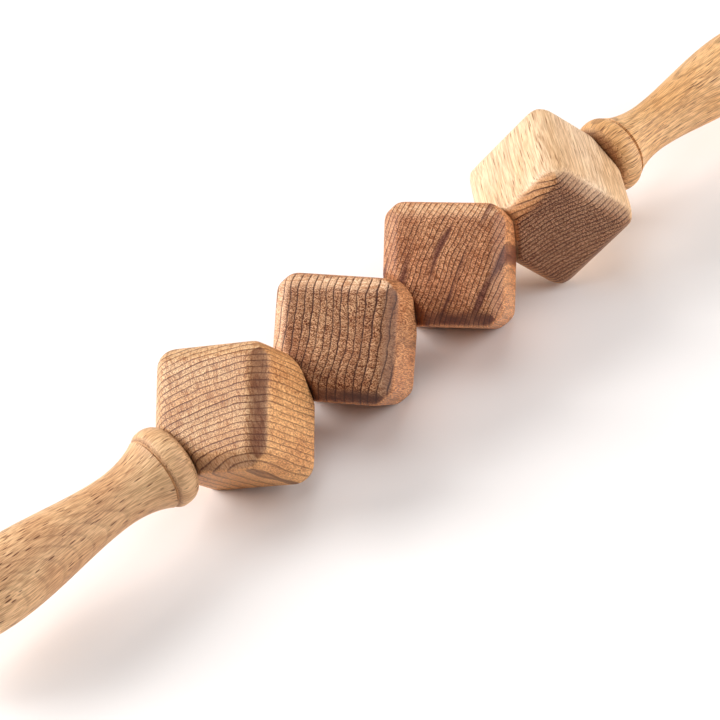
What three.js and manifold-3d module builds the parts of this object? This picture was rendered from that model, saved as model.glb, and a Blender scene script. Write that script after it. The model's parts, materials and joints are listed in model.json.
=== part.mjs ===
// Foot massage roller: four chamfered beech cubes threaded corner to corner on a dowel,
// with a turned handle glued on each end of the dowel. Each cube turns on its own.
//
// Millimetres. X runs along the dowel, Z is up, the cubes' lowest point is at Z = 0
// and the middle of the dowel is at X = 0, Y = 0.

import * as THREE from "three";
import { mergeVertices } from "three/addons/utils/BufferGeometryUtils.js";
import Module from "manifold-3d";

const wasm = await Module();
wasm.setup();

// Cubes
const CUBE_SIDE = 45;
const EDGE_CHAMFER = 5; // leg of the chamfer along each edge
const CORNER_CLIP = 5.6; // taken off each free corner, along its diagonal
const CUBE_HALF_LENGTH = 25.6; // from a cube's middle to the flats sawn at its dowel corners

// How each cube lies, from left to right, in degrees: its turn about the dowel, and its yaw,
// the angle in the level plane by which the dowel misses the cube's diagonal. Cubes 2, 3
// and 4 lie flat on an edge chamfer, and cube 1 stands on a corner.
const CUBES = [
  { turn: 41, yaw: -3, color: "#b98259" },
  { turn: 60, yaw: 1, color: "#a76d48" },
  { turn: 60, yaw: 4.5, color: "#ad6f4b" },
  { turn: 120, yaw: 0, color: "#c9986f" },
];

// Dowel and running gaps
const DOWEL_RADIUS = 6;
const DOWEL_CHAMFER = 1;
const RUNNING_GAP = 0.3; // round the dowel, in every bore
const END_GAP = 0.5; // between neighbours along the dowel

// Handle: distances along it start at the end that faces the cubes
const HANDLE_LENGTH = 118;
const BORE_DEPTH = 25;
const FACE_RADIUS = 9;
const BEAD_RADIUS = 15;
const BEAD_CROWN = 6.4;
const GROOVE_START = 10;
const GROOVE_WIDTH = 1;
const GROOVE_DEPTH = 0.8;
const GROOVE_RADIUS = 13.3; // of the wood on both sides of the groove
const WAIST_RADIUS = 9.6;
const WAIST_AT = 27.5;
const BELLY_RADIUS = 14.3;
const BELLY_AT = 77;
const SHOULDER_RADIUS = 11.4;
const SHOULDER_AT = 105;

// How far the handle's curves run on along their tangents, on each side of the points they
// join. Where two numbers are given, the tangent slopes.
const FACE_PULL = 4;
const CROWN_PULL_BEFORE = 3.8;
const CROWN_PULL_AFTER = 1.8;
const BEAD_FOOT_PULL = { radius: 1.1, along: 0.6 };
const COVE_HEAD_PULL = { radius: 1.7, along: 3 };
const WAIST_PULL_BEFORE = 7.5;
const WAIST_PULL_AFTER = 14.5;
const BELLY_PULL_BEFORE = 17;
const BELLY_PULL_AFTER = 11;
const SHOULDER_PULL_BEFORE = { radius: 1.1, along: 8 };
const SHOULDER_PULL_AFTER = { radius: 1.2, along: 8 };
const TIP_PULL = 6.4;

const ROUND_SEGMENTS = 40; // sides of the dowel, the bores and the handles
const CURVE_POINTS = 6; // steps along each curve of the handle's outline

const SPACE_DIAGONAL = CUBE_SIDE * Math.sqrt(3);
const PITCH = 2 * CUBE_HALF_LENGTH + END_GAP;
const BORE_RADIUS = DOWEL_RADIUS + RUNNING_GAP;
const STACK_HALF_LENGTH = ((CUBES.length - 1) * PITCH) / 2 + CUBE_HALF_LENGTH;
const HANDLE_START = STACK_HALF_LENGTH + END_GAP;
const DOWEL_HALF_LENGTH = HANDLE_START + BORE_DEPTH - END_GAP;

function wood(color) {
  return new THREE.MeshStandardMaterial({ color, roughness: 0.6, metalness: 0 });
}

function toSolid(geometry) {
  geometry.deleteAttribute("normal");
  geometry.deleteAttribute("uv");
  const merged = mergeVertices(geometry);
  const mesh = new wasm.Mesh({
    numProp: 3,
    vertProperties: new Float32Array(merged.attributes.position.array),
    triVerts: new Uint32Array(merged.index.array),
  });
  return new wasm.Manifold(mesh);
}

function toGeometry(solid) {
  const { vertProperties, triVerts } = solid.getMesh();
  const geometry = new THREE.BufferGeometry();
  geometry.setAttribute("position", new THREE.BufferAttribute(vertProperties, 3));
  geometry.setIndex(new THREE.BufferAttribute(triVerts, 1));
  return geometry;
}

// A cube with its edges chamfered and its corners clipped, edges along X, Y and Z.
function chamferedCube() {
  const side = CUBE_SIDE;
  let solid = toSolid(new THREE.BoxGeometry(side, side, side));

  // A block turned 45 degrees about an axis chamfers the four edges along that axis.
  const block = Math.SQRT2 * (side - EDGE_CHAMFER);
  for (const turnAbout of ["rotateX", "rotateY", "rotateZ"]) {
    const chamfers = new THREE.BoxGeometry(block, block, block);
    chamfers[turnAbout](Math.PI / 4);
    solid = solid.intersect(toSolid(chamfers));
  }

  // An octahedron clips all eight corners square to their diagonals.
  const reach = Math.sqrt(3) * (SPACE_DIAGONAL / 2 - CORNER_CLIP);
  return solid.intersect(toSolid(new THREE.OctahedronGeometry(reach)));
}

// The cube laid with its space diagonal along X, turned and yawed, then sawn flat at both
// ends and bored through along X. At no turn, an edge that leaves its +X corner leans to +Y.
function threadedCube(turn, yaw) {
  const diagonal = new THREE.Vector3(1, 1, 1).normalize();
  const edge = new THREE.Vector3(0, 0, 1).projectOnPlane(diagonal).normalize();
  const across = new THREE.Vector3().crossVectors(diagonal, edge);
  const lay = new THREE.Matrix4().makeBasis(diagonal, edge, across).transpose();
  const cube = toGeometry(chamferedCube()).applyMatrix4(lay);
  cube.rotateX(THREE.MathUtils.degToRad(turn));
  cube.rotateZ(THREE.MathUtils.degToRad(yaw));

  const slab = new THREE.BoxGeometry(2 * CUBE_HALF_LENGTH, 2 * CUBE_SIDE, 2 * CUBE_SIDE);
  const bore = new THREE.CylinderGeometry(BORE_RADIUS, BORE_RADIUS, 2 * CUBE_SIDE, ROUND_SEGMENTS);
  bore.rotateZ(Math.PI / 2);
  return toGeometry(toSolid(cube).intersect(toSolid(slab)).subtract(toSolid(bore)));
}

// Half outline of the dowel, as radius and distance along it.
function dowelOutline() {
  const end = DOWEL_HALF_LENGTH;
  return [
    new THREE.Vector2(0, -end),
    new THREE.Vector2(DOWEL_RADIUS - DOWEL_CHAMFER, -end),
    new THREE.Vector2(DOWEL_RADIUS, -end + DOWEL_CHAMFER),
    new THREE.Vector2(DOWEL_RADIUS, end - DOWEL_CHAMFER),
    new THREE.Vector2(DOWEL_RADIUS - DOWEL_CHAMFER, end),
    new THREE.Vector2(0, end),
  ];
}

// Half outline of a handle, as radius and distance along it, from the bottom of its blind
// bore round to its tip.
function handleOutline() {
  const outline = new THREE.Path();
  outline.moveTo(0, BORE_DEPTH);
  outline.lineTo(BORE_RADIUS, BORE_DEPTH);
  outline.lineTo(BORE_RADIUS, 0);
  outline.lineTo(FACE_RADIUS, 0);

  // One smooth curve from where the outline has reached: the point it leaves towards, the
  // point it arrives from, and its end.
  const curve = (leave, arrive, end) => outline.bezierCurveTo(...leave, ...arrive, ...end);

  // bead: up from the rounded end face to its crown, and down to the groove
  curve(
    [FACE_RADIUS + FACE_PULL, 0],
    [BEAD_RADIUS, BEAD_CROWN - CROWN_PULL_BEFORE],
    [BEAD_RADIUS, BEAD_CROWN],
  );
  curve(
    [BEAD_RADIUS, BEAD_CROWN + CROWN_PULL_AFTER],
    [GROOVE_RADIUS + BEAD_FOOT_PULL.radius, GROOVE_START - BEAD_FOOT_PULL.along],
    [GROOVE_RADIUS, GROOVE_START],
  );

  // fine V groove
  const grooveEnd = GROOVE_START + GROOVE_WIDTH;
  outline.lineTo(GROOVE_RADIUS - GROOVE_DEPTH, GROOVE_START + GROOVE_WIDTH / 2);
  outline.lineTo(GROOVE_RADIUS, grooveEnd);

  // cove down to the waist, swell up to the belly, taper to the shoulder, round tip
  curve(
    [GROOVE_RADIUS - COVE_HEAD_PULL.radius, grooveEnd + COVE_HEAD_PULL.along],
    [WAIST_RADIUS, WAIST_AT - WAIST_PULL_BEFORE],
    [WAIST_RADIUS, WAIST_AT],
  );
  curve(
    [WAIST_RADIUS, WAIST_AT + WAIST_PULL_AFTER],
    [BELLY_RADIUS, BELLY_AT - BELLY_PULL_BEFORE],
    [BELLY_RADIUS, BELLY_AT],
  );
  curve(
    [BELLY_RADIUS, BELLY_AT + BELLY_PULL_AFTER],
    [SHOULDER_RADIUS + SHOULDER_PULL_BEFORE.radius, SHOULDER_AT - SHOULDER_PULL_BEFORE.along],
    [SHOULDER_RADIUS, SHOULDER_AT],
  );
  curve(
    [SHOULDER_RADIUS - SHOULDER_PULL_AFTER.radius, SHOULDER_AT + SHOULDER_PULL_AFTER.along],
    [TIP_PULL, HANDLE_LENGTH],
    [0, HANDLE_LENGTH],
  );
  return outline.getPoints(CURVE_POINTS);
}

function turned(name, outline, material) {
  const mesh = new THREE.Mesh(new THREE.LatheGeometry(outline, ROUND_SEGMENTS), material);
  mesh.name = name;
  mesh.rotation.z = -Math.PI / 2;
  return mesh;
}

const roller = new THREE.Group();

const stack = new THREE.Box3();
CUBES.forEach(({ turn, yaw, color }, index) => {
  const cube = new THREE.Mesh(threadedCube(turn, yaw), wood(color));
  cube.name = `cube_${index + 1}`;
  cube.position.x = (index - (CUBES.length - 1) / 2) * PITCH;
  roller.add(cube);
  stack.expandByObject(cube, true);
});

roller.add(turned("shaft", dowelOutline(), wood("#d0a57a")));

const rightHandle = turned("right_handle", handleOutline(), wood("#d3a272"));
rightHandle.position.x = HANDLE_START;
roller.add(rightHandle);

const leftHandle = turned("left_handle", handleOutline(), wood("#cf9d6e"));
leftHandle.rotation.z = Math.PI / 2;
leftHandle.position.x = -HANDLE_START;
roller.add(leftHandle);

// Lift the roller so that it stands on Z = 0.
roller.position.z = -stack.min.z;

export default roller;
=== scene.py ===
"""Looks of the wooden foot massage roller: four sanded beech cubes on a dowel, with a turned
handle on each end.

Every CAD node is replaced by a finer mesh of the same size and place. Lengths are in
millimetres while a mesh is made and in its wood coordinates, and in metres in the scene.
"""

import json
import math

import bmesh
import bpy
import numpy as np
from mathutils import Matrix, Vector

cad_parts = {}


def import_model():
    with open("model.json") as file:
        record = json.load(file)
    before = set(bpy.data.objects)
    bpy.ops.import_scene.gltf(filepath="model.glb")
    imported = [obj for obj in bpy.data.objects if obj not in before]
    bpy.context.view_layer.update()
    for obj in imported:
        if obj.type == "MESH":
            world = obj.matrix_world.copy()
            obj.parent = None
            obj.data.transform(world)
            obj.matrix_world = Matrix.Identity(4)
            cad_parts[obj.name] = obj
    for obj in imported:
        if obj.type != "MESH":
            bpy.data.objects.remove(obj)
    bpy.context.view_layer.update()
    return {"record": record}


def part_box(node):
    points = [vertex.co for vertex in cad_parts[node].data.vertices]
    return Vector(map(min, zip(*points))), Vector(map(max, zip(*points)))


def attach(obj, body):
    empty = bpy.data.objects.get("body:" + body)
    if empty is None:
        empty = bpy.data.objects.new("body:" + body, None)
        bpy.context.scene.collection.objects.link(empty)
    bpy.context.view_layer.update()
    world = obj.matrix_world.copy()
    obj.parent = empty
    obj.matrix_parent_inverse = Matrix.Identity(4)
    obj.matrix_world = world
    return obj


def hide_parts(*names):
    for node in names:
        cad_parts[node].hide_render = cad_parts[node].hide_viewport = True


MM = 0.001

# Cubes: the CAD's sizes, but for the corners. The CAD clips 5.6 off them, and here the
# softening of the edges takes the rest.
CUBE_SIDE = 45
EDGE_CHAMFER = 5
CORNER_CLIP = 5.2
BORE_RADIUS = 6.3
TURNS = (41, 60, 60, 120)  # degrees about the dowel, from left to right
YAWS = (-3, 1, 4.5, 0)  # degrees in the level plane

# How the cubes are sanded and meshed
SOFT_EDGES = 1.7  # per millimetre: how crisply faces and chamfers meet, higher is crisper
SAWN_EDGES = 5.0  # the same for the flats sawn at the dowel corners
CHAMFER_SCATTER = 0.3  # how much deeper a hand-sanded chamfer may be than its neighbours
CHAMFER_TILT = 0.27  # a little less than 1 - cos 45 degrees, for the middle of a chamfer
CUBE_GRID = 60  # quads along each side of a cube
SURFACE_STEPS = 40  # halvings of the search for a cube's surface
MERGE_DIGITS = 6  # decimals to which two grid points are the same point
SHARP_ANGLE = 40  # degrees between faces that shade as separate

# Dowel, as in the CAD
DOWEL_RADIUS = 6
DOWEL_CHAMFER = 1

# Handle, as in the CAD: distances along it start at the end that faces the cubes
HANDLE_LENGTH = 118
BORE_DEPTH = 25
FACE_RADIUS = 9
BEAD_RADIUS = 15
BEAD_CROWN = 6.4
GROOVE_START = 10
GROOVE_WIDTH = 1
GROOVE_DEPTH = 0.8
GROOVE_RADIUS = 13.3  # of the wood on both sides of the groove
WAIST_RADIUS = 9.6
WAIST_AT = 27.5
BELLY_RADIUS = 14.3
BELLY_AT = 77
SHOULDER_RADIUS = 11.4
SHOULDER_AT = 105

# How far the handle's curves run on along their tangents, on each side of the points they
# join. Pairs are (along, radius), for tangents that slope.
FACE_PULL = 4
CROWN_PULL_BEFORE = 3.8
CROWN_PULL_AFTER = 1.8
BEAD_FOOT_PULL = (0.6, 1.1)
COVE_HEAD_PULL = (3, 1.7)
WAIST_PULL_BEFORE = 7.5
WAIST_PULL_AFTER = 14.5
BELLY_PULL_BEFORE = 17
BELLY_PULL_AFTER = 11
SHOULDER_PULL_BEFORE = (8, 1.1)
SHOULDER_PULL_AFTER = (8, 1.2)
TIP_PULL = 6.4

# How turned pieces are meshed, and how fine grain is laid on them
TURNED_SEGMENTS = 128
CURVE_POINTS = 22  # steps along each curve of the handle's outline
TURNED_GRAIN_RADIUS = 12  # to which fine grain is moved
LONG_GRAIN_CUT = 0.55  # below this squareness to the grain it is moved all the way
END_GRAIN_CUT = 0.85  # above this it stays where it is

# Parts of the wood that draw noise, each with its own step from the piece's seed
SEED_STEPS = {
    "bend": 0, "wobble": 2, "patch": 3, "rays": 4, "cloud": 5,
    "ripple": 7, "streaks": 9, "pores": 11, "sanding_and_shade": 13,
# the last step draws the patches of the chamfers' darkening, from the sander and painted shade
}

# Studio: lights are (name, direction, side in metres, watts, colour)
LIGHTS = (
    ("window", (-0.6, 0.6, 0.5), 0.85, 33, (1, 0.99, 0.97)),
    ("fill", (0.75, -0.6, 0.4), 1.4, 24, (1, 0.99, 0.98)),
    ("top", (0, 0.1, 1), 1.2, 9, (1, 1, 1)),
)
LIGHT_DISTANCE = 1.6  # metres
WORLD_STRENGTH = 0.085
FLOOR_HALF = 4.0  # metres

# Camera, at the photograph's viewing angle
CAMERA_HEADING = 35.74  # degrees from +Y towards +X
CAMERA_ELEVATION = 44.33  # degrees above level
CAMERA_ROLL = 8.65
CAMERA_DISTANCE = 813.4
CAMERA_AIM = (-21.5, -0.5, 18.8)
CAMERA_LENS = 112.04
SENSOR_WIDTH = 36


# ---------------------------------------------------------------- meshes

def unit(values):
    vector = np.array(values, float)
    return vector / np.linalg.norm(vector)


def cube_planes(rng, lay):
    """Outward normals and distances of a laid cube's faces, chamfers and clipped corners."""
    normals, distances = [], []
    for axis in range(3):
        for side in (1, -1):
            normals.append(side * np.eye(3)[axis])
            distances.append(CUBE_SIDE / 2)
    for first, second in ((0, 1), (1, 2), (2, 0)):
        for a in (1, -1):
            for b in (1, -1):
                normals.append(unit(a * np.eye(3)[first] + b * np.eye(3)[second]))
                deeper = rng.uniform(0, CHAMFER_SCATTER)
                distances.append((CUBE_SIDE - EDGE_CHAMFER) / math.sqrt(2) - deeper)
    corner = CUBE_SIDE * math.sqrt(3) / 2 - CORNER_CLIP
    for signs in np.ndindex(2, 2, 2):
        normals.append(unit(np.array(signs) * 2 - 1))
        distances.append(corner)
    return np.array(normals) @ lay.T, np.array(distances)


def smooth_max(values, crispness):
    """Largest value in each row, rounded off where several are nearly the same."""
    top = values.max(axis=1, keepdims=True)
    total = np.exp(crispness * (values - top)).sum(axis=1, keepdims=True)
    return (top + np.log(total) / crispness)[:, 0]


def lay_matrix(turn, yaw):
    """Rotation that lays a cube's diagonal along X, turns it about X and yaws it about Z."""
    diagonal = unit((1, 1, 1))
    edge = unit(np.array((0, 0, 1)) - diagonal[2] * diagonal)
    lay = np.array((diagonal, edge, np.cross(diagonal, edge)))
    spin = np.array(Matrix.Rotation(math.radians(turn), 3, "X"))
    swing = np.array(Matrix.Rotation(math.radians(yaw), 3, "Z"))
    return swing @ spin @ lay


def sphere_grid(count):
    """Directions from the middle of a sphere to a cube-shaped grid on it, and its quads."""
    ticks = np.tan(np.linspace(-math.pi / 4, math.pi / 4, count + 1))
    index, points, quads = {}, [], []

    def vertex(point):
        key = tuple(np.round(point, MERGE_DIGITS))
        if key not in index:
            index[key] = len(points)
            points.append(point)
        return index[key]

    for axis in range(3):
        for side in (1, -1):
            middle = side * np.eye(3)[axis]
            u = np.eye(3)[(axis + 1) % 3]
            v = np.eye(3)[(axis + 2) % 3] * side
            grid = [[vertex(middle + a * u + b * v) for b in ticks] for a in ticks]
            for i in range(count):
                for j in range(count):
                    quads.append((grid[i][j], grid[i + 1][j], grid[i + 1][j + 1], grid[i][j + 1]))
    directions = np.array(points)
    return directions / np.linalg.norm(directions, axis=1, keepdims=True), quads


def cube_surface(directions, planes, half_length):
    """Points where rays from the middle meet the softened cube, cut by the sawn flats."""
    normals, distances = planes
    reach = directions @ normals.T
    near = np.zeros(len(directions))
    far = np.full(len(directions), CUBE_SIDE)
    for _ in range(SURFACE_STEPS):
        middle = (near + far) / 2
        body = smooth_max(middle[:, None] * reach - distances, SOFT_EDGES)
        flats = np.abs(directions[:, 0]) * middle - half_length
        inside = smooth_max(np.stack((body, flats), axis=1), SAWN_EDGES) < 0
        near = np.where(inside, middle, near)
        far = np.where(inside, far, middle)
    return directions * near[:, None]


def new_mesh(name, points, faces):
    """An object in the scene, made of these points and faces."""
    mesh = bpy.data.meshes.new(name)
    mesh.from_pydata([tuple(p) for p in points], [], faces)
    piece = bpy.data.objects.new(name, mesh)
    bpy.context.scene.collection.objects.link(piece)
    return piece


def lathe(name, outline):
    """A closed body turned about X. The outline is (distance along, radius), axis to axis."""
    angles = np.arange(TURNED_SEGMENTS) * 2 * math.pi / TURNED_SEGMENTS
    points, rings = [], []
    for along, radius in outline:
        if radius == 0:
            rings.append([len(points)] * TURNED_SEGMENTS)
            points.append((along, 0, 0))
            continue
        rings.append(list(range(len(points), len(points) + TURNED_SEGMENTS)))
        points += [(along, radius * math.cos(a), radius * math.sin(a)) for a in angles]
    faces = []
    for first, second in zip(rings, rings[1:]):
        for i in range(TURNED_SEGMENTS):
            j = (i + 1) % TURNED_SEGMENTS
            corners = dict.fromkeys((first[i], first[j], second[j], second[i]))
            faces.append(tuple(corners))
    return new_mesh(name, points, faces)


def finish_mesh(piece):
    """Turns faces outward and shades them smooth, with a break at sharp edges."""
    edit = bmesh.new()
    edit.from_mesh(piece.data)
    bmesh.ops.recalc_face_normals(edit, faces=edit.faces)
    edit.to_mesh(piece.data)
    edit.free()
    piece.data.shade_smooth()
    piece.data.set_sharp_from_angle(angle=math.radians(SHARP_ANGLE))


def bore(piece):
    """Cuts the dowel hole through a cube along X."""
    reach = 2 * CUBE_SIDE
    outline = ((-reach, 0), (-reach, BORE_RADIUS), (reach, BORE_RADIUS), (reach, 0))
    drill = lathe("drill", outline)
    finish_mesh(drill)
    cut = piece.modifiers.new("bore", "BOOLEAN")
    cut.operation = "DIFFERENCE"
    cut.solver = "EXACT"
    cut.object = drill
    graph = bpy.context.evaluated_depsgraph_get()
    bored = bpy.data.meshes.new_from_object(piece.evaluated_get(graph))
    piece.modifiers.clear()
    piece.data = bored
    bpy.data.objects.remove(drill)


def vertex_positions(mesh):
    values = np.zeros(len(mesh.vertices) * 3, np.float32)
    mesh.vertices.foreach_get("co", values)
    return values.reshape(-1, 3)


def vertex_normals(mesh):
    values = np.zeros(len(mesh.vertices) * 3, np.float32)
    mesh.vertex_normals.foreach_get("vector", values)
    return values.reshape(-1, 3)


def store(mesh, name, values):
    """Keeps one number or one vector for each point, for the shader to read by name."""
    kind, field = ("FLOAT_VECTOR", "vector") if values.ndim == 2 else ("FLOAT", "value")
    attribute = mesh.attributes.new(name, kind, "POINT")
    attribute.data.foreach_set(field, values.astype(np.float32).ravel())


def mark_wood(piece, to_wood, turned=False):
    """Stores where each point lies in its piece of timber, in millimetres: two coordinates
    across the grain and one along it. Also stores how squarely the surface cuts the grain,
    from 0 along it to 1 across it. The grain attribute is the same place, but on a turned
    piece it is moved to one radius, so that fine dashes run on along the curves."""
    mesh = piece.data
    normals = vertex_normals(mesh) @ to_wood.T
    squareness = np.abs(normals[:, 2])
    timber = vertex_positions(mesh) @ to_wood.T
    grain = timber.copy()
    if turned:
        radius = np.linalg.norm(timber[:, :2], axis=1)
        moved = (END_GRAIN_CUT - squareness) / (END_GRAIN_CUT - LONG_GRAIN_CUT)
        spread = TURNED_GRAIN_RADIUS / np.maximum(radius, 1)
        grain[:, :2] *= (1 + (spread - 1) * np.clip(moved, 0, 1))[:, None]
    store(mesh, "timber", timber)
    store(mesh, "grain", grain)
    store(mesh, "end_grain", squareness)
    return normals


def mark_chamfer(piece, normals):
    """Stores 0 on a cube's faces and 1 in the middle of its chamfers."""
    tilt = 1 - np.abs(normals).max(axis=1)
    store(piece.data, "chamfer", np.clip(tilt / CHAMFER_TILT, 0, 1))


def set_down(piece, centre):
    """Brings a mesh made about the origin, in millimetres, to its place in the scene."""
    mesh = piece.data
    mesh.transform(Matrix.Translation(Vector(centre)) @ Matrix.Scale(MM, 4))
    mesh.update()


# ---------------------------------------------------------------- wood shader

def srgb(red, green, blue):
    """A colour written as 0 to 255 steps, as the linear values that shaders take."""
    values = [v / 255 for v in (red, green, blue)]
    return [v / 12.92 if v < 0.04045 else ((v + 0.055) / 1.055) ** 2.4 for v in values] + [1]


class Graph:
    """Short calls for the shader nodes that the materials are made of."""

    def __init__(self, name):
        self.material = bpy.data.materials.new(name)
        self.material.use_nodes = True
        self.tree = self.material.node_tree
        self.shader = self.tree.nodes["Principled BSDF"]

    def feed(self, socket, value):
        if isinstance(value, bpy.types.NodeSocket):
            self.tree.links.new(value, socket)
        else:
            socket.default_value = value

    def node(self, kind, inputs=(), **settings):
        made = self.tree.nodes.new(kind)
        for key, value in settings.items():
            setattr(made, key, value)
        for key, value in dict(inputs).items():
            self.feed(made.inputs[key], value)
        return made

    def math(self, operation, *values):
        return self.node("ShaderNodeMath", enumerate(values), operation=operation).outputs[0]

    def times(self, first, second):
        return self.math("MULTIPLY", first, second)

    def attribute(self, name, output):
        return self.node("ShaderNodeAttribute", attribute_name=name).outputs[output]

    def vector(self, x, y, z):
        return self.node("ShaderNodeCombineXYZ", {"X": x, "Y": y, "Z": z}).outputs[0]

    def split(self, vector):
        return self.node("ShaderNodeSeparateXYZ", {0: vector}).outputs

    def scaled(self, vector, factors):
        inputs = {0: vector, 1: factors}
        return self.node("ShaderNodeVectorMath", inputs, operation="MULTIPLY").outputs[0]

    def noise(self, vector, seed, detail=2.0, roughness=0.5):
        inputs = {"Vector": vector, "W": seed, "Scale": 1.0}
        inputs.update({"Detail": detail, "Roughness": roughness})
        return self.node("ShaderNodeTexNoise", inputs, noise_dimensions="4D")

    def ramp(self, value, low, high, to_low=0.0, to_high=1.0):
        """A smooth step from to_low, at low, to to_high, at high."""
        inputs = {"Value": value, "From Min": low, "From Max": high}
        inputs.update({"To Min": to_low, "To Max": to_high})
        return self.node("ShaderNodeMapRange", inputs, interpolation_type="SMOOTHSTEP").outputs[0]

    def mix(self, share, first, second, blend="MIX"):
        """Blends two colours. The node keeps its colour sockets after those for numbers."""
        made = self.node("ShaderNodeMix", data_type="RGBA", blend_type=blend)
        for key, value in ((0, share), (6, first), (7, second)):
            self.feed(made.inputs[key], value)
        return made.outputs[2]


def seed_of(look, part):
    return look["seed"] + SEED_STEPS[part]


def stretched(graph, place, factors):
    """A place in the tree as a point for a texture, with each of its coordinates scaled."""
    return graph.vector(*(graph.times(along, by) for along, by in zip(place, factors)))


# Features of the wood per millimetre, in two directions across the grain and along it
BEND_PER_MM = (0.05, 0.05, 0.02)
RIPPLE_PER_MM = (0.22, 0.22, 0.05)
CLOUDS_PER_MM = (0.07, 0.07, 0.035)
# patches in the chamfers' darkening, from the sander and painted shade
SANDING_AND_SHADE_PER_MM = (0.14, 0.14, 0.14)

# The same, out from the pith, round it and up
WOBBLE_PER_MM = (1, 1, 0.1)
RAYS_PER_MM = (0.25, 1.7, 0.5)
STREAKS_PER_MM = (0.2, 0.03, 0)

FLECK_EDGE = 0.08  # softness of a fleck's outline, as a share of the gap between flecks
SANDING_AND_SHADE_REACH = (8, 18)  # millimetres from a cube's middle over which the chamfers' darkening, by the sander and with painted shade, sets in
PAINTED_LIGHT_REACH = (-6, -12)  # the same for the painted light on the chamfers of the other side
GRIT_DEPTHS = (0.8, 1.0, 1.15)  # how strongly the pores tell in red, green and blue
RELIEF_DEPTH = 0.12  # millimetres, for a relief of 1
RELIEF = {"flecks": -0.6, "pores": 0.4, "rings": -0.9}
WOOD_SPECULAR = 0.35


def timber_coordinates(graph, look, source, lean):
    """Where a point lies in its tree: distance from the pith, distance round it, and height.
    The grain bends slowly and ripples quickly, as it does in a tree, and may lean."""
    timber = graph.attribute(source, "Vector")
    slow = graph.noise(graph.scaled(timber, BEND_PER_MM), seed_of(look, "bend"))
    quick = graph.noise(graph.scaled(timber, RIPPLE_PER_MM), seed_of(look, "ripple"))
    x, y, z = graph.split(timber)
    bend_x, bend_y, _ = graph.split(slow.outputs["Color"])
    ripple_x, ripple_y, _ = graph.split(quick.outputs["Color"])
    pith_x, pith_y = look["pith"]

    def across(spot, bend, ripple, pith):
        moved = graph.math("MULTIPLY_ADD", bend, look["bend"], spot)
        moved = graph.math("MULTIPLY_ADD", ripple, look["ripple"], moved)
        return graph.math("SUBTRACT", moved, pith + (look["bend"] + look["ripple"]) / 2)

    from_pith_x = across(x, bend_x, ripple_x, pith_x)
    from_pith_y = across(y, bend_y, ripple_y, pith_y)
    from_pith_x = graph.math("MULTIPLY_ADD", z, lean, from_pith_x)
    squared = graph.times(from_pith_x, from_pith_x)
    radius = graph.math("SQRT", graph.math("MULTIPLY_ADD", from_pith_y, from_pith_y, squared))

    # The angle is counted from the line that joins the pith to the piece's middle, so the
    # place where angles jump is beyond the pith.
    reach = math.hypot(pith_x, pith_y)
    toward_x, toward_y = -pith_x / reach, -pith_y / reach
    ahead = graph.math(
        "MULTIPLY_ADD", from_pith_x, toward_x, graph.times(from_pith_y, toward_y)
    )
    aside = graph.math(
        "MULTIPLY_ADD", from_pith_y, toward_x, graph.times(from_pith_x, -toward_y)
    )
    return radius, graph.times(graph.math("ARCTAN2", aside, ahead), reach), z


def growth_rings(graph, look, radius, around, height):
    """0 in early wood, rising to 1 in the thin dark line that ends each year's ring. Also
    gives each year a number of its own from 0 to 1."""
    spot = stretched(graph, (radius, around, height), WOBBLE_PER_MM)
    wobble = graph.noise(spot, seed_of(look, "wobble"))
    radius = graph.math("MULTIPLY_ADD", wobble.outputs[0], look["wobble"], radius)
    count = graph.math("DIVIDE", radius, look["ring"])
    part = graph.math("FRACT", count)
    year = graph.math("FLOOR", count)
    chance = graph.node("ShaderNodeTexWhiteNoise", {"W": year}, noise_dimensions="1D")
    luck = chance.outputs["Value"]

    # The line is full from 0.88 to 0.93 of the way through a year. Each year's line has a
    # strength of its own, and fades in patches.
    darkens = graph.ramp(part, look["line_from"], 0.88)
    line = graph.times(darkens, graph.ramp(part, 0.93, 1.0, 1.0, 0.0))
    spot = stretched(graph, (count, around, height), (1, 0.9, 0.12))
    patch = graph.noise(spot, seed_of(look, "patch")).outputs[0]
    patch = graph.ramp(patch, 0.3, 0.55, 0.6, 1.0)
    strength = graph.times(graph.math("MULTIPLY_ADD", luck, 0.35, 0.65), patch)
    late = graph.times(part, 0.25)
    return graph.math("MULTIPLY_ADD", line, strength, late), luck


def ray_lines(graph, look, place):
    """Medullary rays: thin upright sheets that run out from the pith. They are fine radial
    lines on end grain, rungs on a radial cut and short dashes on a flat one."""
    spot = stretched(graph, place, RAYS_PER_MM)
    noise = graph.noise(spot, seed_of(look, "rays"), detail=1.0).outputs[0]
    return graph.ramp(noise, 0.5, 0.6)


def dark_flecks(graph, look, place):
    """Open vessels: short dark dashes along the grain, which show as dots on end grain."""
    across, along = 1 / look["fleck_gap"], 1 / look["fleck_length"]
    spot = stretched(graph, place, (across, across, along))
    cells = graph.node("ShaderNodeTexVoronoi", {"Vector": spot, "Scale": 1.0, "Randomness": 1.0})
    luck = graph.split(cells.outputs["Color"])[0]
    width = graph.ramp(luck, 1 - look["fleck_share"], 1.0, -0.1, look["fleck_width"])
    inside = graph.math("SUBTRACT", width, cells.outputs["Distance"])
    return graph.ramp(inside, -FLECK_EDGE, FLECK_EDGE)


def pores(graph, look, place):
    """Fine specks, drawn out along the grain and a little along the rays. From -1 to 1."""
    fine = look["grit_fineness"]
    spot = stretched(graph, place, (0.6 * fine, fine, fine / look["grit_stretch"]))
    noise = graph.noise(spot, seed_of(look, "pores"), detail=1.0, roughness=0.8).outputs[0]
    return graph.ramp(noise, 0.34, 0.66, -1.0, 1.0)


def streaked(graph, look, colour, place):
    """Grey-purple heartwood streaks that follow the rings."""
    spot = stretched(graph, place, STREAKS_PER_MM)
    bands = graph.noise(spot, seed_of(look, "streaks"), detail=1.0).outputs[0]
    share = graph.times(graph.ramp(bands, 0.55, 0.66), look["streak_share"])
    return graph.mix(share, colour, look["streak"], "MULTIPLY")


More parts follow.
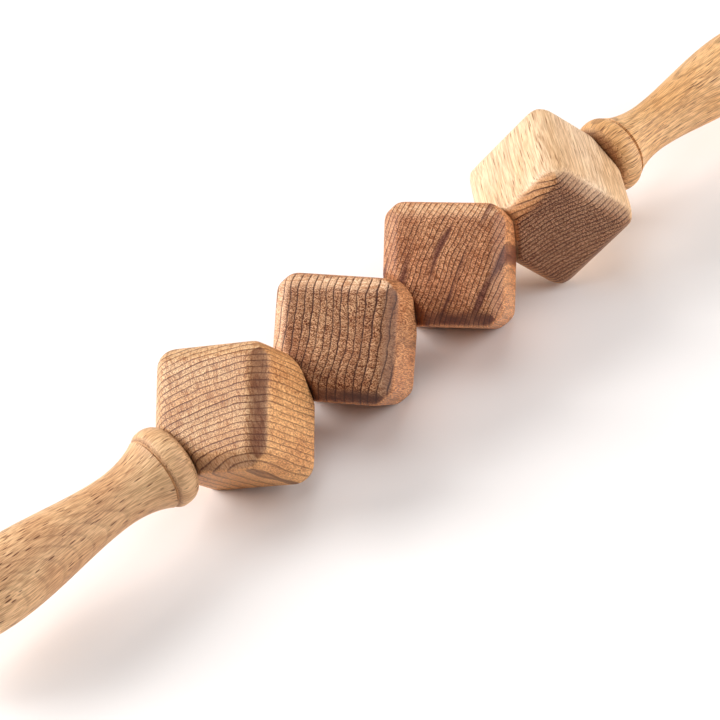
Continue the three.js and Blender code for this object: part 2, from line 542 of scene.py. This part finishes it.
def chamfer_sanding_shade_and_light(graph, look, colour, edge, timber):
    """End-grain chamfers: darkened on one side of the cube, partly by the sander and partly with
    painted shade where they turn from the light, and lightened with painted light on the other
    side. toward says how far a point is on the dark side, in millimetres."""
    x, y, _ = graph.split(timber)
    scorch_x, scorch_y = look["sanding_and_shade_sides"]
    reach_x, reach_y = graph.math("ABSOLUTE", x), graph.math("ABSOLUTE", y)
    on_x_side = graph.math("GREATER_THAN", reach_x, reach_y)
    toward_x, toward_y = graph.times(x, scorch_x), graph.times(y, scorch_y)
    difference = graph.math("SUBTRACT", toward_x, toward_y)
    toward = graph.math("MULTIPLY_ADD", on_x_side, difference, toward_y)
    patches = graph.scaled(timber, SANDING_AND_SHADE_PER_MM)
    patch = graph.noise(patches, seed_of(look, "sanding_and_shade"), detail=3.0).outputs[0]
    dark = graph.times(edge, graph.ramp(toward, *SANDING_AND_SHADE_REACH))
    dark = graph.times(dark, graph.ramp(patch, 0.3, 0.6, 0.5, 1.0))
    pale = graph.times(edge, graph.ramp(toward, *PAINTED_LIGHT_REACH))
    colour = graph.mix(graph.times(pale, look["painted_light_share"]), colour, look["painted_light_colour"])
    return graph.mix(graph.times(dark, look["sanding_and_shade_share"]), colour, look["sanding_and_shade"], "MULTIPLY")


def beech(name, look):
    """Beech cut from one place in a tree. look says where, and what its colours are. Values
    named side are for wood cut along the grain and values named end for wood cut across it."""
    graph = Graph(name)
    tree_place = timber_coordinates(graph, look, "timber", look["lean"])
    fine_place = timber_coordinates(graph, look, "grain", 0.0)
    rings, luck = growth_rings(graph, look, *tree_place)
    rays = ray_lines(graph, look, fine_place)
    flecks = dark_flecks(graph, look, fine_place)
    specks = pores(graph, look, fine_place)
    timber = graph.attribute("timber", "Vector")
    cut = graph.attribute("end_grain", "Fac")
    clouds = graph.scaled(timber, CLOUDS_PER_MM)
    cloud = graph.noise(clouds, seed_of(look, "cloud"), detail=3.0).outputs[0]
    cloud = graph.ramp(cloud, 0.35, 0.65)
    end = graph.ramp(cut, look["end_from"], look["end_to"])

    along_grain = graph.mix(cloud, look["side"], look["side_warm"])
    across_grain = graph.mix(cloud, look["end"], look["end_warm"])
    across_grain = graph.mix(graph.times(luck, look["year_contrast"]), across_grain, look["line"])
    colour = graph.mix(end, along_grain, across_grain)
    edge = graph.times(graph.attribute("chamfer", "Fac"), graph.ramp(cut, 0.3, 0.6))
    # End-grain chamfers: darkened by the sander and with painted shade on one side, lit with
    # painted light on the other
    if "sanding_and_shade" in look:
        colour = chamfer_sanding_shade_and_light(graph, look, colour, edge, timber)
    if "streak" in look:
        colour = streaked(graph, look, colour, tree_place)

    def share(kind):
        return graph.ramp(end, 0.0, 1.0, look["side_" + kind], look["end_" + kind])

    gain = graph.times(share("grit"), graph.math("MULTIPLY_ADD", edge, -0.6, 1.0))
    grit = graph.times(specks, gain)
    warm_grit = [graph.math("MULTIPLY_ADD", grit, depth, 1.0) for depth in GRIT_DEPTHS]
    colour = graph.mix(1.0, colour, graph.vector(*warm_grit), "MULTIPLY")
    colour = graph.mix(graph.times(rays, share("rays")), colour, look["ray_tint"], "MULTIPLY")
    colour = graph.mix(graph.times(rings, share("rings")), colour, look["line"])
    colour = graph.mix(graph.times(flecks, share("flecks")), colour, look["fleck_colour"])
    graph.feed(graph.shader.inputs["Base Color"], colour)

    graph.feed(graph.shader.inputs["Specular IOR Level"], WOOD_SPECULAR)
    roughness = graph.math("MULTIPLY_ADD", specks, 0.08, look["roughness"])
    graph.feed(graph.shader.inputs["Roughness"], roughness)

    relief = graph.times(specks, RELIEF["pores"])
    relief = graph.math("MULTIPLY_ADD", flecks, RELIEF["flecks"], relief)
    relief = graph.math("MULTIPLY_ADD", rings, RELIEF["rings"], relief)
    inputs = {"Strength": 0.5, "Distance": RELIEF_DEPTH * MM, "Height": relief}
    bump = graph.node("ShaderNodeBump", inputs)
    graph.feed(graph.shader.inputs["Normal"], bump.outputs[0])
    return graph.material


# Millimetres: ring, pith (its place across the grain as seen from the piece's middle), bend,
# ripple, wobble, fleck_gap and fleck_length. fleck_width is a share of fleck_gap, lean is a
# slope, grit_fineness is per millimetre, grit_stretch says how many times longer than wide the
# pores are, and the sanding-and-shade sides point across the grain to the side whose end-grain
# chamfers are darkened, by the sander and with painted shade; the other side's get painted light.
# end_from and end_to are the squareness to the grain where end grain starts and is complete.
# The rest are seeds, colours and shares from 0 to 1.
BEECH = {
    "ring": 2.4, "lean": 0.0, "bend": 4.0, "ripple": 0.5, "wobble": 0.4,
    "fleck_gap": 1.1, "fleck_length": 4.0, "fleck_width": 0.3, "fleck_share": 0.5,
    "side_flecks": 0.7, "end_flecks": 0.2,
    "end": srgb(206, 158, 120), "end_warm": srgb(194, 140, 102),
    "side_rings": 0.45, "end_rings": 0.95,
    "line": srgb(96, 52, 30), "line_from": 0.7, "fleck_colour": srgb(104, 58, 32),
    "ray_tint": srgb(206, 176, 152), "side_rays": 0.25, "end_rays": 0.7,
    "end_from": 0.35, "end_to": 0.7, "side_grit": 0.6, "end_grit": 0.6, "roughness": 0.5,
    "year_contrast": 0.15, "grit_fineness": 2.4, "grit_stretch": 4.0,
}

# In the cubes' looks, the darkening colour and its share make the chamfers on one side darker, by
# the sander and with painted shade, and the pale colour and its share are painted light on the
# chamfers of the other side.
LOOKS = {
    "cube_1": {
        "pith": (30, -95), "ring": 2.25, "seed": 1.0, "side_rings": 0.7, "side_grit": 0.4,
        "side": srgb(228, 170, 112), "side_warm": srgb(210, 148, 92),
        "fleck_length": 1.4, "fleck_share": 0.6, "fleck_width": 0.35, "grit_fineness": 3.0,
        "end": srgb(222, 177, 133), "end_warm": srgb(210, 158, 112),
        "sanding_and_shade": srgb(146, 104, 82), "sanding_and_shade_share": 0.9, "sanding_and_shade_sides": (1, -0.6),
        "painted_light_colour": srgb(232, 190, 144), "painted_light_share": 0.6,
    },
    "cube_2": {
        "pith": (-150, 15), "ring": 2.8, "seed": 2.0, "line_from": 0.74,
        "fleck_length": 2.0, "fleck_share": 0.8,
        "side": srgb(202, 142, 96), "side_warm": srgb(184, 120, 76), "side_grit": 0.65,
        "end": srgb(192, 144, 106), "end_warm": srgb(174, 120, 84), "line": srgb(70, 34, 20),
        "end_grit": 1.0, "end_rings": 1.0, "grit_fineness": 3.3, "grit_stretch": 14.0, "bend": 6.0,
        "sanding_and_shade": srgb(128, 88, 72), "sanding_and_shade_share": 0.9, "sanding_and_shade_sides": (0.65, -1),
        "painted_light_colour": srgb(240, 194, 156), "painted_light_share": 0.95,
    },
    "cube_3": {
        "pith": (280, -107), "ring": 1.7, "seed": 3.0, "fleck_length": 2.0,
        "side": srgb(216, 152, 102), "side_warm": srgb(202, 132, 82),
        "fleck_share": 0.8, "grit_fineness": 3.3, "grit_stretch": 14.0,
        "end": srgb(208, 148, 106), "end_warm": srgb(190, 126, 86), "line": srgb(72, 32, 18),
        "end_grit": 0.8, "end_rings": 1.0,
        "streak": srgb(146, 122, 134), "streak_share": 0.95,
        "sanding_and_shade": srgb(140, 94, 76), "sanding_and_shade_share": 0.9, "sanding_and_shade_sides": (0.4, -1),
        "painted_light_colour": srgb(238, 188, 146), "painted_light_share": 0.9,
    },
    "cube_4": {
        "pith": (76, -27), "ring": 1.75, "seed": 4.0, "wobble": 0.3, "line_from": 0.62,
        "side": srgb(238, 203, 166), "side_warm": srgb(226, 184, 140), "side_rings": 0.18,
        "end": srgb(188, 138, 102), "end_warm": srgb(172, 120, 86), "line": srgb(58, 28, 18),
        "end_from": 0.48, "end_to": 0.85, "side_rays": 0.1, "end_rays": 0.3, "side_flecks": 0.8,
        "fleck_gap": 0.55, "fleck_length": 9.0, "fleck_share": 1.0,
        "fleck_colour": srgb(142, 94, 58), "side_grit": 0.25, "grit_stretch": 25.0,
        "end_grit": 0.9, "end_rings": 1.0,
        "sanding_and_shade": srgb(150, 110, 90), "sanding_and_shade_share": 0.5, "sanding_and_shade_sides": (1, 0.5),
        "painted_light_colour": srgb(226, 164, 106), "painted_light_share": 0.6,
    },
    # Both handles: their end colours are darker partly because end grain is, and partly as painted
    # shade on the bead faces that turn to the cubes.
    "left_handle": {
        "pith": (34, -11), "ring": 2.6, "seed": 5.0, "lean": 0.25,
        "side": srgb(224, 180, 134), "side_warm": srgb(206, 156, 112), "side_rings": 0.2,
        "end": srgb(178, 132, 94), "end_warm": srgb(164, 114, 76), "end_rings": 0.5,
        "end_from": 0.5, "end_to": 1.0,
        "fleck_gap": 0.6, "fleck_length": 5.0, "fleck_share": 0.9, "side_flecks": 1.0,
        "grit_fineness": 4.0, "grit_stretch": 24.0, "side_grit": 0.34, "end_grit": 0.5,
        "side_rays": 0.1, "end_rays": 0.2,
    },
    "right_handle": {
        "pith": (20, 30), "ring": 2.6, "seed": 6.0, "lean": 0.06,
        "side": srgb(236, 187, 134), "side_warm": srgb(222, 167, 110), "side_rings": 0.35,
        "end": srgb(178, 130, 90), "end_warm": srgb(164, 112, 74), "end_rings": 0.5,
        "end_from": 0.5, "end_to": 1.0,
        "fleck_gap": 0.6, "fleck_length": 8.0, "fleck_share": 1.0, "side_flecks": 1.0,
        "grit_fineness": 4.0, "grit_stretch": 24.0, "side_grit": 0.34, "end_grit": 0.5,
        "side_rays": 0.1, "end_rays": 0.2,
    },
    "shaft": {
        "pith": (40, 10), "seed": 7.0,
        "side": srgb(222, 186, 142), "side_warm": srgb(208, 166, 122),
    },
}


def wood_of(node):
    return beech(node + "_beech", {**BEECH, **LOOKS[node]})


# ---------------------------------------------------------------- pieces

CUBE_TIMBER = np.array(((1, 0, 0), (0, 0, 1), (0, 1, 0)), float)  # grain along the cube's own Y
TURNED_TIMBER = np.array(((0, 1, 0), (0, 0, 1), (1, 0, 0)), float)  # grain along X


def make_cube(index, directions, quads):
    """One cube on the dowel's centreline, between the flats that the CAD's box gives."""
    node = f"cube_{index + 1}"
    low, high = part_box(node)
    centre = ((low.x + high.x) / 2, 0, axis_height())
    half_length = (high.x - low.x) / 2 / MM
    lay = lay_matrix(TURNS[index], YAWS[index])
    planes = cube_planes(np.random.default_rng(index + 1), lay)
    piece = new_mesh(node + "_sanded", cube_surface(directions, planes, half_length), quads)
    finish_mesh(piece)
    bore(piece)
    finish_mesh(piece)
    normals = mark_wood(piece, CUBE_TIMBER @ lay.T)
    mark_chamfer(piece, normals)
    set_down(piece, centre)
    dress(piece, node, node)


def curve_on(outline, leave, arrive, end):
    """Carries an outline on from its last point with one smooth curve: the point it leaves
    towards, the point it arrives from, and its end."""
    t = np.linspace(0, 1, CURVE_POINTS + 1)[1:, None]
    a, b, c, d = (np.array(point, float) for point in (outline[-1], leave, arrive, end))
    curve = (1 - t) ** 3 * a + 3 * (1 - t) ** 2 * t * b + 3 * (1 - t) * t**2 * c + t**3 * d
    outline += [tuple(point) for point in curve]


def handle_outline():
    """(distance along, radius), from the bottom of the bore round to the rounded tip."""
    outline = [(BORE_DEPTH, 0), (BORE_DEPTH, BORE_RADIUS), (0, BORE_RADIUS), (0, FACE_RADIUS)]

    # bead: up from the rounded end face to its crown, and down to the groove
    curve_on(
        outline,
        (0, FACE_RADIUS + FACE_PULL),
        (BEAD_CROWN - CROWN_PULL_BEFORE, BEAD_RADIUS),
        (BEAD_CROWN, BEAD_RADIUS),
    )
    along, out = BEAD_FOOT_PULL
    curve_on(
        outline,
        (BEAD_CROWN + CROWN_PULL_AFTER, BEAD_RADIUS),
        (GROOVE_START - along, GROOVE_RADIUS + out),
        (GROOVE_START, GROOVE_RADIUS),
    )

    # fine V groove
    groove_end = GROOVE_START + GROOVE_WIDTH
    outline.append((GROOVE_START + GROOVE_WIDTH / 2, GROOVE_RADIUS - GROOVE_DEPTH))
    outline.append((groove_end, GROOVE_RADIUS))

    # cove down to the waist, swell up to the belly, taper to the shoulder, round tip
    along, out = COVE_HEAD_PULL
    curve_on(
        outline,
        (groove_end + along, GROOVE_RADIUS - out),
        (WAIST_AT - WAIST_PULL_BEFORE, WAIST_RADIUS),
        (WAIST_AT, WAIST_RADIUS),
    )
    curve_on(
        outline,
        (WAIST_AT + WAIST_PULL_AFTER, WAIST_RADIUS),
        (BELLY_AT - BELLY_PULL_BEFORE, BELLY_RADIUS),
        (BELLY_AT, BELLY_RADIUS),
    )
    along, out = SHOULDER_PULL_BEFORE
    curve_on(
        outline,
        (BELLY_AT + BELLY_PULL_AFTER, BELLY_RADIUS),
        (SHOULDER_AT - along, SHOULDER_RADIUS + out),
        (SHOULDER_AT, SHOULDER_RADIUS),
    )
    along, out = SHOULDER_PULL_AFTER
    curve_on(
        outline,
        (SHOULDER_AT + along, SHOULDER_RADIUS - out),
        (HANDLE_LENGTH, TIP_PULL),
        (HANDLE_LENGTH, 0),
    )
    return outline


def axis_height():
    """Height of the dowel's centreline, in metres."""
    low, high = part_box("shaft")
    return (low.z + high.z) / 2


def make_handle(node, side):
    """A handle that runs away from the cubes: side is 1 towards +X and -1 towards -X."""
    low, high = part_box(node)
    start = (low.x if side > 0 else high.x) / MM
    outline = [(start + side * along, radius) for along, radius in handle_outline()]
    piece = lathe(node + "_turned", outline)
    finish_mesh(piece)
    mark_wood(piece, TURNED_TIMBER, turned=True)
    set_down(piece, (0, 0, axis_height()))
    dress(piece, node, "frame")


def make_dowel():
    low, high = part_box("shaft")
    start, end = low.x / MM, high.x / MM
    shoulder = DOWEL_RADIUS - DOWEL_CHAMFER
    outline = (
        (start, 0), (start, shoulder), (start + DOWEL_CHAMFER, DOWEL_RADIUS),
        (end - DOWEL_CHAMFER, DOWEL_RADIUS), (end, shoulder), (end, 0),
    )
    piece = lathe("dowel", outline)
    finish_mesh(piece)
    mark_wood(piece, TURNED_TIMBER, turned=True)
    set_down(piece, (0, 0, axis_height()))
    dress(piece, "shaft", "frame")


def dress(piece, node, body):
    """Gives a piece its own beech, hides the CAD node it stands in for and hangs it on its body.
    """
    piece.data.materials.clear()
    piece.data.materials.append(wood_of(node))
    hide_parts(node)
    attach(piece, body)


# ---------------------------------------------------------------- studio

def white_table():
    """Matt white, very slightly mottled."""
    graph = Graph("white_table")
    mottle = graph.noise(graph.node("ShaderNodeTexCoord").outputs["Object"], 1.0).outputs[0]
    colour = graph.mix(mottle, srgb(250, 246, 245), srgb(252, 249, 248))
    graph.feed(graph.shader.inputs["Base Color"], colour)
    graph.feed(graph.shader.inputs["Roughness"], 0.7)
    graph.feed(graph.shader.inputs["Specular IOR Level"], 0.1)
    return graph.material


def make_floor(height):
    half = FLOOR_HALF
    corners = ((-half, -half, 0), (half, -half, 0), (half, half, 0), (-half, half, 0))
    floor = new_mesh("studio_floor", corners, [(0, 1, 2, 3)])
    floor.location.z = height
    floor.data.materials.append(white_table())


def make_light(name, direction, size, power, colour):
    """A soft light in this direction from the object, turned to face it."""
    data = bpy.data.lights.new(name, "AREA")
    data.shape = "RECTANGLE"
    data.size = size
    data.size_y = size
    data.energy = power
    data.color = colour
    light = bpy.data.objects.new(name, data)
    towards = Vector(direction).normalized()
    light.location = towards * LIGHT_DISTANCE
    light.rotation_mode = "QUATERNION"
    light.rotation_quaternion = towards.to_track_quat("Z", "Y")
    bpy.context.scene.collection.objects.link(light)


def make_world():
    world = bpy.data.worlds.new("studio")
    world.use_nodes = True
    background = world.node_tree.nodes["Background"]
    background.inputs["Color"].default_value = (1, 1, 1, 1)
    background.inputs["Strength"].default_value = WORLD_STRENGTH
    bpy.context.scene.world = world


def make_camera():
    heading, elevation = math.radians(CAMERA_HEADING), math.radians(CAMERA_ELEVATION)
    forward = Vector((
        math.sin(heading) * math.cos(elevation),
        math.cos(heading) * math.cos(elevation),
        -math.sin(elevation),
    ))
    data = bpy.data.cameras.new("camera")
    data.lens = CAMERA_LENS
    data.sensor_width = SENSOR_WIDTH
    camera = bpy.data.objects.new("camera", data)
    camera.location = Vector(CAMERA_AIM) * MM - forward * CAMERA_DISTANCE * MM
    roll = Matrix.Rotation(-math.radians(CAMERA_ROLL), 3, "Z")
    camera.rotation_euler = (forward.to_track_quat("-Z", "Y").to_matrix() @ roll).to_euler()
    bpy.context.scene.collection.objects.link(camera)
    bpy.context.scene.camera = camera


def main():
    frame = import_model()
    directions, quads = sphere_grid(CUBE_GRID)
    for index in range(len(TURNS)):
        make_cube(index, directions, quads)
    make_handle("left_handle", -1)
    make_handle("right_handle", 1)
    make_dowel()

    make_floor(min(mount["pos_m"][2] for mount in frame["record"]["mounts"]))
    for light in LIGHTS:
        make_light(*light)
    make_world()
    make_camera()
    bpy.context.scene.view_settings.view_transform = "Standard"


main()
